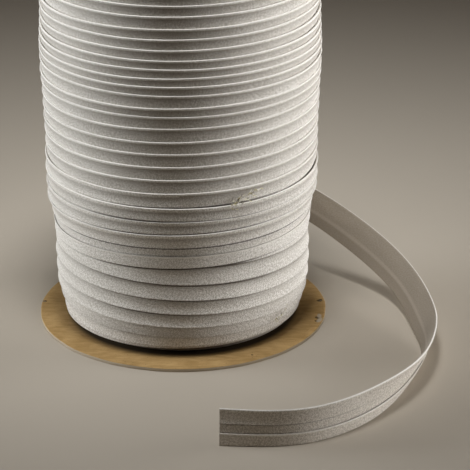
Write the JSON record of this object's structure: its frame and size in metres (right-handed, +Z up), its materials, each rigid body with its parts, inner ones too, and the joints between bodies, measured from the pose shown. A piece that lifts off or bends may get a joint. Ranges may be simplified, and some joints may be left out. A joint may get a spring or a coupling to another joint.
{
  "type": "roll of bias tape on a card base",
  "caption": "Tall bulk roll of off-white folded bias tape standing on a round card base, its loose end curving forward over the table.",
  "frame": {"origin": "centre of the card base's underside, on the table", "axes": "+Z up the roll's axis; the roll's front, where the loose end is cut, faces -Y; the loose end lies towards +X and -Y"},
  "size_m": [0.1346, 0.151, 0.1485],
  "materials": {
    "card": null,
    "tape": "matte off-white cotton, woven, cut on the bias"
  },
  "bodies": {
    "root": {"base_card": "card", "tape_roll": "tape", "loose_end": "tape"}
  },
  "joints": []
}
